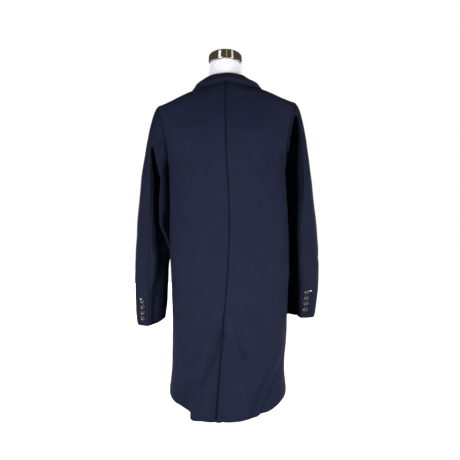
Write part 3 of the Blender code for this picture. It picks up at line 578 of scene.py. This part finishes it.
def spread(nodes, value, low, high):
    """A noise value, which stays near its middle, spread from low to high."""
    return add_node(nodes, "ShaderNodeMapRange", Value=value, From_Min=0.3, From_Max=0.7,
                    To_Min=low, To_Max=high).outputs["Result"]


def scaled(nodes, colour, share):
    """A colour made darker or lighter by a share."""
    made = add_node(nodes, "ShaderNodeVectorMath", operation="SCALE", Vector=colour, Scale=share)
    return made.outputs["Vector"]


def combined(nodes, operation, *pair):
    """Two values added or multiplied."""
    made = add_node(nodes, "ShaderNodeMath", operation=operation)
    for value, socket in zip(pair, made.inputs):
        made.id_data.links.new(value, socket)
    return made.outputs["Value"]


def ramp(nodes, value, *stops):
    """The colour of a value between two stops, each a value and its colour."""
    made = add_node(nodes, "ShaderNodeValToRGB", Fac=value)
    for element, (position, colour) in zip(made.color_ramp.elements, stops):
        element.position, element.color = position, (*colour, 1.0)
    return made.outputs["Color"]


def bump(nodes, height, strength, depth):
    """Fine relief."""
    return add_node(nodes, "ShaderNodeBump", Height=height, Strength=strength,
                    Distance=depth).outputs["Normal"]


def group(name, inputs, outputs, fill):
    """The shader group of that name, filled the first time it is asked for."""
    if name not in bpy.data.node_groups:
        tree = bpy.data.node_groups.new(name, "ShaderNodeTree")
        kinds = {"Place": "NodeSocketVector", "Colour": "NodeSocketColor"}
        for way, labels in (("INPUT", inputs), ("OUTPUT", outputs)):
            for label in labels:
                tree.interface.new_socket(name=label, in_out=way,
                                          socket_type=kinds.get(label, "NodeSocketFloat"))
        given = tree.nodes.new("NodeGroupInput").outputs
        wire(tree.nodes.new("NodeGroupOutput"), **fill(tree.nodes, given))
    return bpy.data.node_groups[name]


def fibres(nodes, given):
    """Fibres of a brushed cloth: their colour, roughness and height, from a place and a colour."""
    cloud = noisy(nodes, Vector=given["Place"], Scale=26.0, Detail=3.0)
    fibre = noisy(nodes, Vector=given["Place"], Scale=given["Fibres"], Detail=4.0, Roughness=0.7)
    brushed = add_node(nodes, "ShaderNodeMapping", Vector=given["Place"], Scale=(1.0, 1.0, 0.22))
    strand = noisy(nodes, Vector=brushed.outputs["Vector"], Scale=given["Fibres"], Detail=2.0)
    colour = given["Colour"]
    for value, low, high in ((cloud, 0.90, 1.10), (fibre, 0.72, 1.30), (strand, 0.86, 1.16)):
        colour = scaled(nodes, colour, spread(nodes, value, low, high))
    return {"Colour": colour, "Roughness": spread(nodes, fibre, 0.95, 0.78),
            "Height": combined(nodes, "ADD", fibre, strand)}


def smudges(nodes, given):
    """Handling marks on polished metal: its colour and roughness."""
    marks = noisy(nodes, Vector=given["Place"], Scale=60.0, Detail=5.0, Roughness=0.65)
    return {"Colour": scaled(nodes, given["Colour"], spread(nodes, marks, 1.0, 0.90)),
            "Roughness": combined(nodes, "MULTIPLY", given["Polish"], spread(nodes, marks, 0.7, 1.5))}


def material_named(name, fill):
    """The material of that name, filled the first time it is asked for."""
    made = bpy.data.materials.get(name)
    if made is None:
        made = bpy.data.materials.new(name)
        made.use_nodes = True
        fill(made.node_tree.nodes, made.node_tree.nodes["Principled BSDF"])
    return made


def napped(nodes, shader, colour, count, strength, depth):
    """Wires the brushed nap to a shader, with so many fibres to the metre."""
    tree = group("Brushed nap", ("Place", "Colour", "Fibres"), ("Colour", "Roughness", "Height"), fibres)
    nap = add_node(nodes, "ShaderNodeGroup", node_tree=tree, Place=own_place(nodes), Colour=colour,
                   Fibres=count).outputs
    wire(shader, Base_Color=nap["Colour"], Roughness=nap["Roughness"],
         Normal=bump(nodes, nap["Height"], strength, depth))


def wool():
    """Navy coating wool, darkened by the painted shade along its seams and edges and over the sleeves."""
    colours = bpy.context.scene.coat_colours

    def fill(nodes, shader):
        # The painted shade of the seams and sleeves darkens the wool colour, down to SEAM_DARKEST
        painted_shade = add_node(nodes, "ShaderNodeAttribute", attribute_name="painted_shade").outputs["Fac"]
        shade = add_node(nodes, "ShaderNodeMapRange", Value=painted_shade, To_Min=1.0, To_Max=SEAM_DARKEST)
        colour = scaled(nodes, colours.wool, shade.outputs["Result"])
        napped(nodes, shader, colour, count=950.0, strength=0.35, depth=0.0006)
        wire(shader, Specular_IOR_Level=0.10, Sheen_Weight=0.03, Sheen_Roughness=0.45,
             Sheen_Tint=(0.30, 0.34, 0.62, 1.0))

    return material_named("navy_wool", fill)


def thread(name, colour):
    """Sewing thread."""

    def fill(nodes, shader):
        napped(nodes, shader, (*colour, 1.0), count=2600.0, strength=0.5, depth=0.0002)
        wire(shader, Sheen_Weight=0.2)

    return material_named(name, fill)


def horn():
    """Dark horn with paler streaks and a polished face."""
    colours = bpy.context.scene.coat_colours

    def fill(nodes, shader):
        grain = add_node(nodes, "ShaderNodeMapping", Vector=own_place(nodes), Scale=(1.0, 1.0, 3.2),
                         Rotation=(0.5, 0.3, 0.0)).outputs["Vector"]
        streak = noisy(nodes, Vector=grain, Scale=170.0, Detail=4.0, Distortion=1.2)
        wire(shader, Base_Color=ramp(nodes, streak, (0.42, colours.horn), (0.78, colours.horn_streak)),
             Roughness=spread(nodes, streak, 0.34, 0.22), Normal=bump(nodes, streak, 0.12, 0.0002))

    return material_named("dark_horn", fill)


def jersey():
    """White knitted cover: fine upright ribs, with a little shade between them."""
    pale = bpy.context.scene.coat_colours.jersey

    def fill(nodes, shader):
        spot = own_place(nodes)
        ribs = add_node(nodes, "ShaderNodeTexWave", wave_type="RINGS", rings_direction="Z", Vector=spot,
                        Scale=260.0, Distortion=1.0, Detail=2.0).outputs["Fac"]
        rows = add_node(nodes, "ShaderNodeTexWave", bands_direction="Z", Vector=spot, Scale=300.0,
                        Distortion=1.5).outputs["Fac"]
        knit = combined(nodes, "ADD", ribs, rows)
        shaded = [0.86 * part for part in pale]
        wire(shader, Base_Color=ramp(nodes, knit, (0.0, shaded), (1.0, pale)),
             Roughness=spread(nodes, rows, 0.92, 0.8), Normal=bump(nodes, knit, 0.18, 0.0003))

    return material_named("white_jersey", fill)


def metal(name, colour, polish):
    """Polished metal with handling marks."""

    def fill(nodes, shader):
        tree = group("Handled metal", ("Place", "Colour", "Polish"), ("Colour", "Roughness"), smudges)
        marks = add_node(nodes, "ShaderNodeGroup", node_tree=tree, Place=own_place(nodes),
                         Colour=(*colour, 1.0), Polish=polish).outputs
        wire(shader, Base_Color=marks["Colour"], Roughness=marks["Roughness"], Metallic=1.0)

    return material_named(name, fill)


# Buttons and sewing
def button_frame(node, away_from):
    """A button solid's turned place, with z out of the cloth, and its radius and thickness."""
    points = np.array([vertex.co for vertex in NODES[node].data.vertices])
    points = np.unique(points.round(6), axis=0)
    middle = points.mean(axis=0)
    _, axes = np.linalg.eigh(np.cov((points - middle).T))
    out = Vector(axes[:, 0])
    if out.dot(Vector(middle) - Vector(away_from)) < 0:
        out.negate()
    heights = (points - middle) @ np.array(out)
    flat = points - middle - heights[:, None] * np.array(out)
    radius = np.linalg.norm(flat, axis=1).max()
    turn = out.to_track_quat("Z", "Y").to_matrix().to_4x4()
    foot = Vector(middle) + out * heights.min()
    return Matrix.Translation(foot) @ turn, radius, heights.max() - heights.min()


def spun(bm, profile, steps):
    """Spins a profile of (radius, height) pairs round z and closes it."""
    verts = [bm.verts.new((radius, 0.0, height)) for radius, height in profile]
    edges = [bm.edges.new(pair) for pair in zip(verts, verts[1:])]
    bmesh.ops.spin(bm, geom=verts + edges, cent=(0, 0, 0), axis=(0, 0, 1), angle=2 * math.pi,
                   steps=steps, use_merge=True)
    bmesh.ops.remove_doubles(bm, verts=bm.verts, dist=1e-6)
    bmesh.ops.recalc_face_normals(bm, faces=bm.faces)


def arch(bm, start, end, height, thick, steps=8):
    """A strand of thread from start to end that stands up in a low arch along z."""
    start, end = Vector(start), Vector(end)
    middle, half = (start + end) / 2, (end - start) / 2
    before = set(bm.verts)
    ring = bmesh.ops.create_circle(bm, cap_ends=True, segments=STRAND_SIDES, radius=thick / 2)["verts"]
    bmesh.ops.rotate(bm, verts=ring, cent=(0, 0, 0), matrix=Matrix.Rotation(math.pi, 3, "X"))
    bmesh.ops.translate(bm, verts=ring, vec=(-half.length, 0, 0))
    faces = list({face for vert in ring for face in vert.link_faces})
    bmesh.ops.spin(bm, geom=faces, cent=(0, 0, 0), axis=(0, 1, 0), angle=math.pi, steps=steps,
                   use_merge=False)
    made = [vert for vert in bm.verts if vert not in before]
    bmesh.ops.scale(bm, verts=made, vec=(1, 1, height / half.length))
    swing = math.atan2(half.y, half.x)
    bmesh.ops.rotate(bm, verts=made, cent=(0, 0, 0), matrix=Matrix.Rotation(swing, 3, "Z"))
    bmesh.ops.translate(bm, verts=made, vec=middle)


def button_mesh(radius, thick):
    """A four-hole button with a raised rim and a dished middle, with its thread, standing on z = 0."""
    bm = bmesh.new()
    spun(bm, [(out * radius, up * thick) for out, up in BUTTON_PROFILE], BUTTON_STEPS)
    body = link(bpy.data.meshes.new("button"), "button")
    bm.to_mesh(body.data)
    bm.free()
    reach, hole = HOLE_REACH * radius, HOLE_RADIUS * radius
    bm = bmesh.new()
    for across, along in ((1, 1), (1, -1), (-1, 1), (-1, -1)):
        spot = Matrix.Translation((across * reach, along * reach, 0))
        bmesh.ops.create_cone(bm, cap_ends=True, segments=HOLE_STEPS, radius1=hole, radius2=hole,
                              depth=4 * thick, matrix=spot)
    drill = link(bpy.data.meshes.new("drill"), "drill")
    bm.to_mesh(drill.data)
    bm.free()
    cut = body.modifiers.new("Holes", "BOOLEAN")
    cut.object, cut.operation, cut.solver = drill, "DIFFERENCE", "EXACT"
    made = bpy.data.meshes.new_from_object(body.evaluated_get(bpy.context.evaluated_depsgraph_get()))
    bpy.data.objects.remove(body)
    bpy.data.objects.remove(drill)
    bm = bmesh.new()
    bm.from_mesh(made)
    for face in bm.faces:
        face.material_index = 0
    before = set(bm.faces)
    foot = (BUTTON_PROFILE[-1][1] - STRAND_SINK) * thick
    for side in (-1, 1):
        for strand in (-STRAND_APART, STRAND_APART):
            y = side * reach + strand * hole
            arch(bm, (-reach, y, foot), (reach, y, foot), STRAND_RISE * thick, STRAND_SHARE * hole)
    for face in set(bm.faces) - before:
        face.material_index = 1
    bm.to_mesh(made)
    bm.free()
    made.shade_smooth()
    made.set_sharp_from_angle(angle=BUTTON_SHARP)
    return made


def sew_button(node, name, away_from):
    """One horn button on its solid's place."""
    place, radius, thick = button_frame(node, away_from)
    mesh = button_mesh(radius, thick)
    mesh.transform(place)
    piece = settle(link(mesh, name), horn(), "horn", node)
    piece.data.materials.append(thread("navy_thread", bpy.context.scene.coat_colours.wool))


def surface(name):
    """What a ray meets on a piece, as a tree of its faces."""
    bm = bmesh.new()
    bm.from_mesh(bpy.data.objects[name].data)
    tree = BVHTree.FromBMesh(bm)
    bm.free()
    return tree


def seen_at(tree, pixel):
    """The place and the slope of the cloth that the photograph shows at a pixel."""
    ray = Vector((-(pixel[0] - PICTURE / 2), -FOCUS_PIXELS, PICTURE / 2 - pixel[1]))
    place, slope, _, _ = tree.ray_cast(CAMERA_PLACE, ray.normalized())
    if place is None:
        raise RuntimeError(f"no cloth at pixel {pixel}")
    return place, slope


def tack(name, place, slope, length, thick):
    """A short level bar of thread strands that lies on the cloth."""
    bm = bmesh.new()
    for strand in range(-(TACK_STRANDS // 2), TACK_STRANDS // 2 + 1):
        y = strand * thick * TACK_PITCH
        reach = length / 2 * (1 - TACK_TAPER * abs(strand))
        foot = -TACK_SINK * thick
        arch(bm, (-reach, y, foot), (reach, y, foot), TACK_RISE * thick, thick, TACK_STEPS)
    bmesh.ops.recalc_face_normals(bm, faces=bm.faces)
    mesh = bpy.data.meshes.new(name)
    bm.to_mesh(mesh)
    bm.free()
    across = slope.cross(Vector((1, 0, 0))).normalized()
    run = across.cross(slope).normalized()
    turn = Matrix((run, across, slope)).transposed().to_4x4()
    mesh.transform(Matrix.Translation(place) @ turn)
    mesh.shade_smooth()
    settle(link(mesh, name), thread("cream_thread", bpy.context.scene.coat_colours.stitch), "wool")


def stitched_loop(name, points, thick):
    """A closed line of stitching along some points, as a thin round cord."""
    curve = bpy.data.curves.new(name, "CURVE")
    curve.dimensions = "3D"
    curve.bevel_depth, curve.bevel_resolution = thick / 2, 2
    line = curve.splines.new("POLY")
    line.points.add(len(points) - 1)
    for spot, point in zip(line.points, points):
        spot.co = (*point, 1.0)
    line.use_cyclic_u = True
    drawn = link(curve, name)
    mesh = bpy.data.meshes.new_from_object(drawn.evaluated_get(bpy.context.evaluated_depsgraph_get()))
    bpy.data.objects.remove(drawn)
    mesh.shade_smooth()
    settle(link(mesh, name), thread("navy_thread", bpy.context.scene.coat_colours.wool), "wool")


# What a user would change
def colour_setting(name, description, default):
    """A colour for the sidebar."""
    return bpy.props.FloatVectorProperty(name=name, description=description, subtype="COLOR", size=3,
                                         min=0, max=1, default=default)


def length_setting(name, description, default):
    """A length for the sidebar."""
    return bpy.props.FloatProperty(name=name, description=description, unit="LENGTH", default=default)


class CoatColours(bpy.types.PropertyGroup):
    """Colours of the coat and its dress form."""

    wool: colour_setting("Wool", "Colour of the coating", (0.0084, 0.0109, 0.0275))
    horn: colour_setting("Horn", "Dark colour of the buttons", (0.008, 0.008, 0.009))
    horn_streak: colour_setting("Horn streaks", "Paler streaks in the buttons", (0.040, 0.040, 0.043))
    stitch: colour_setting("Cuff stitch", "Colour of the thread on the cuffs", (0.60, 0.50, 0.30))
    jersey: colour_setting("Jersey", "Colour of the dress form's cover", (0.93, 0.93, 0.98))
    chrome: colour_setting("Chrome", "Colour of the neck cap", (0.80, 0.77, 0.72))


class CoatSizes(bpy.types.PropertyGroup):
    """Sizes of the sewing."""

    tack_length: length_setting("Tack length", "Length of the tacking bar on a cuff", 0.0062)
    thread: length_setting("Thread", "Thickness of a strand of thread", 0.0012)
    buttonhole: length_setting("Buttonhole", "Length of a front buttonhole", 0.029)


class COAT_OT_body(bpy.types.Operator):
    """Drapes the two backs, the two fronts and the vent's underlap"""

    bl_idname = "coat.body"
    bl_label = "Body cloth"

    def execute(self, context):
        for side in ("left", "right"):
            cloth_piece(f"back_{side}", back_shift(side))
            cloth_piece(f"front_{side}", body_shift)
        cloth_piece("vent_underlap", back_shift("under"))
        return {"FINISHED"}


class COAT_OT_collar(bpy.types.Operator):
    """Drapes the collar and the two lapels"""

    bl_idname = "coat.collar"
    bl_label = "Collar and lapels"

    def execute(self, context):
        cloth_piece("collar", collar_shift)
        for side in ("left", "right"):
            cloth_piece(f"lapel_{side}", body_shift)
        return {"FINISHED"}


class COAT_OT_sleeves(bpy.types.Operator):
    """Drapes the top and under half of each sleeve"""

    bl_idname = "coat.sleeves"
    bl_label = "Sleeves"

    def execute(self, context):
        for side in ("left", "right"):
            cloth_piece(f"sleeve_{side}_top", sleeve_shift(side, True), sleeve_out(side))
            cloth_piece(f"sleeve_{side}_under", sleeve_shift(side, False), sleeve_out(side))
        return {"FINISHED"}


class COAT_OT_buttons(bpy.types.Operator):
    """Sews four horn buttons to each cuff and three to the front"""

    bl_idname = "coat.buttons"
    bl_label = "Buttons"

    def execute(self, context):
        for side in ("left", "right"):
            _, x, y = SLEEVE_LINES[side][-1]
            for count in range(1, 5):
                node = f"cuff_button_{side}_{count}"
                level = (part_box(node)[0].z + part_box(node)[1].z) / 2
                sew_button(node, f"horn_{node}", (x, y, level))
        for count in range(1, 4):
            sew_button(f"front_button_{count}", f"horn_front_button_{count}", FORM_MIDDLE)
        return {"FINISHED"}


class COAT_OT_stitching(bpy.types.Operator):
    """Adds the cuffs' tacks and the front buttonholes"""

    bl_idname = "coat.stitching"
    bl_label = "Stitching"

    def execute(self, context):
        sizes = context.scene.coat_sizes
        for side, pixel, share in CUFF_TACKS:
            place, slope = seen_at(surface(f"sleeve_{side}_top_cloth"), pixel)
            tack(f"cuff_tack_{side}", place, slope, sizes.tack_length * share, sizes.thread)
        cloth = surface("front_right_cloth")
        for count in range(1, 4):
            low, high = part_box(f"front_button_{count}")
            middle = (low + high) / 2
            loop = []
            for step in range(BUTTONHOLE_STEPS):
                turn = 2 * math.pi * step / BUTTONHOLE_STEPS
                along = math.copysign(abs(math.cos(turn)) ** BUTTONHOLE_BLUNT, math.cos(turn))
                x = middle.x + BUTTONHOLE_LEAD - sizes.buttonhole / 2 * (1 + along)
                z = middle.z + BUTTONHOLE_HALF * math.sin(turn)
                place, slope, _, _ = cloth.ray_cast(Vector((x, -1, z)), Vector((0, 1, 0)))
                if place is None:
                    raise RuntimeError("a buttonhole misses the front")
                loop.append(place + slope * sizes.thread * BUTTONHOLE_LIFT)
            stitched_loop(f"buttonhole_{count}", loop, sizes.thread)
        return {"FINISHED"}


class COAT_OT_dress_form(bpy.types.Operator):
    """Covers the dress form, polishes its neck cap and finishes its pole and base"""

    bl_idname = "coat.dress_form"
    bl_label = "Dress form"

    def execute(self, context):
        colours = context.scene.coat_colours
        torso = softened("form_torso", "form_torso_jersey", FORM_FINE, FORM_RIM)
        settle(torso, jersey(), "jersey", "form_torso")
        cap = softened("form_neck_cap", "form_neck_cap_chrome", FORM_FINE, FORM_RIM)
        settle(cap, metal("chrome", colours.chrome, CHROME_ROUGH), "chrome", "form_neck_cap")
        for node in ("form_pole", "form_base"):
            NODES[node].data.materials.clear()
            NODES[node].data.materials.append(metal("brushed_steel", STEEL, STEEL_ROUGH))
        return {"FINISHED"}


class COAT_OT_stage(bpy.types.Operator):
    """Lays the pale floor, hangs the soft lights and places the camera"""

    bl_idname = "coat.stage"
    bl_label = "Stage"

    def execute(self, context):
        scene = context.scene
        scene.view_settings.view_transform = "Standard"
        bm = bmesh.new()
        bmesh.ops.create_circle(bm, cap_ends=True, segments=FLOOR_SIDES, radius=FLOOR_RADIUS)
        floor = link(bpy.data.meshes.new("floor"), "floor")
        bm.to_mesh(floor.data)
        bm.free()

        def fill(nodes, shader):
            seen = nodes.new("ShaderNodeLightPath").outputs["Is Camera Ray"]
            wire(shader, Base_Color=(*FLOOR_SHADE, 1.0), Roughness=FLOOR_ROUGH, Specular_IOR_Level=0.0,
                 Emission_Color=(*WHITE, 1.0), Emission_Strength=seen)

        floor.data.materials.append(material_named("pale_floor", fill))
        for name, turn, away, middle, wide, tall, power, colour in SOFT_LIGHTS:
            lamp = bpy.data.lights.new(name, "AREA")
            lamp.color = colour
            lamp.shape, lamp.size, lamp.size_y, lamp.energy = "RECTANGLE", wide, tall, power
            hung = bpy.data.objects.new(name, lamp)
            scene.collection.objects.link(hung)
            hung.location = (away * math.sin(turn), away * math.cos(turn), middle)
            look = LIGHT_AIM - hung.location
            hung.rotation_euler = look.to_track_quat("-Z", "Y").to_euler()
        world = bpy.data.worlds.new("studio")
        scene.world = world
        world.use_nodes = True
        nodes, links = world.node_tree.nodes, world.node_tree.links
        room = wire(nodes["Background"], Color=(*ROOM_SHADE, 1.0), Strength=1.0)
        paper = add_node(nodes, "ShaderNodeBackground", Color=(*WHITE, 1.0), Strength=1.0)
        fill_light = add_node(nodes, "ShaderNodeBackground", Color=(*ROOM_FILL, 1.0), Strength=1.0)
        seen = nodes.new("ShaderNodeLightPath")
        shown = room.outputs["Background"]
        for ray, other in (("Is Diffuse Ray", fill_light), ("Is Camera Ray", paper)):
            mixed = nodes.new("ShaderNodeMixShader")
            links.new(seen.outputs[ray], mixed.inputs["Fac"])
            links.new(shown, mixed.inputs[1])
            links.new(other.outputs["Background"], mixed.inputs[2])
            shown = mixed.outputs["Shader"]
        links.new(shown, nodes["World Output"].inputs["Surface"])
        view = bpy.data.cameras.new("camera")
        view.sensor_width = 36.0
        view.lens = view.sensor_width * FOCUS_PIXELS / PICTURE
        camera = bpy.data.objects.new("camera", view)
        camera.location = CAMERA_PLACE
        camera.rotation_euler = (math.pi / 2, 0.0, math.pi)
        scene.collection.objects.link(camera)
        scene.camera = camera
        return {"FINISHED"}


class COAT_PT_sidebar(bpy.types.Panel):
    """Lists the coat's pieces, colours and sizes"""

    bl_label = "Coat"
    bl_idname = "COAT_PT_sidebar"
    bl_space_type = "VIEW_3D"
    bl_region_type = "UI"
    bl_category = "Coat"

    def draw(self, context):
        for settings in (context.scene.coat_colours, context.scene.coat_sizes):
            for name in settings.__annotations__:
                self.layout.prop(settings, name)
        for operator in OPERATORS:
            self.layout.operator(operator.bl_idname)


OPERATORS = (COAT_OT_body, COAT_OT_collar, COAT_OT_sleeves, COAT_OT_buttons, COAT_OT_stitching,
             COAT_OT_dress_form, COAT_OT_stage)
CLASSES = (CoatColours, CoatSizes, *OPERATORS, COAT_PT_sidebar)


def register():
    for each in CLASSES:
        bpy.utils.register_class(each)
    bpy.types.Scene.coat_colours = bpy.props.PointerProperty(type=CoatColours)
    bpy.types.Scene.coat_sizes = bpy.props.PointerProperty(type=CoatSizes)


def unregister():
    del bpy.types.Scene.coat_sizes
    del bpy.types.Scene.coat_colours
    for each in reversed(CLASSES):
        bpy.utils.unregister_class(each)


def main():
    register()
    bpy.ops.coat.body()
    bpy.ops.coat.collar()
    bpy.ops.coat.sleeves()
    bpy.ops.coat.buttons()
    bpy.ops.coat.stitching()
    bpy.ops.coat.dress_form()
    bpy.ops.coat.stage()


if __name__ == "__main__":
    main()
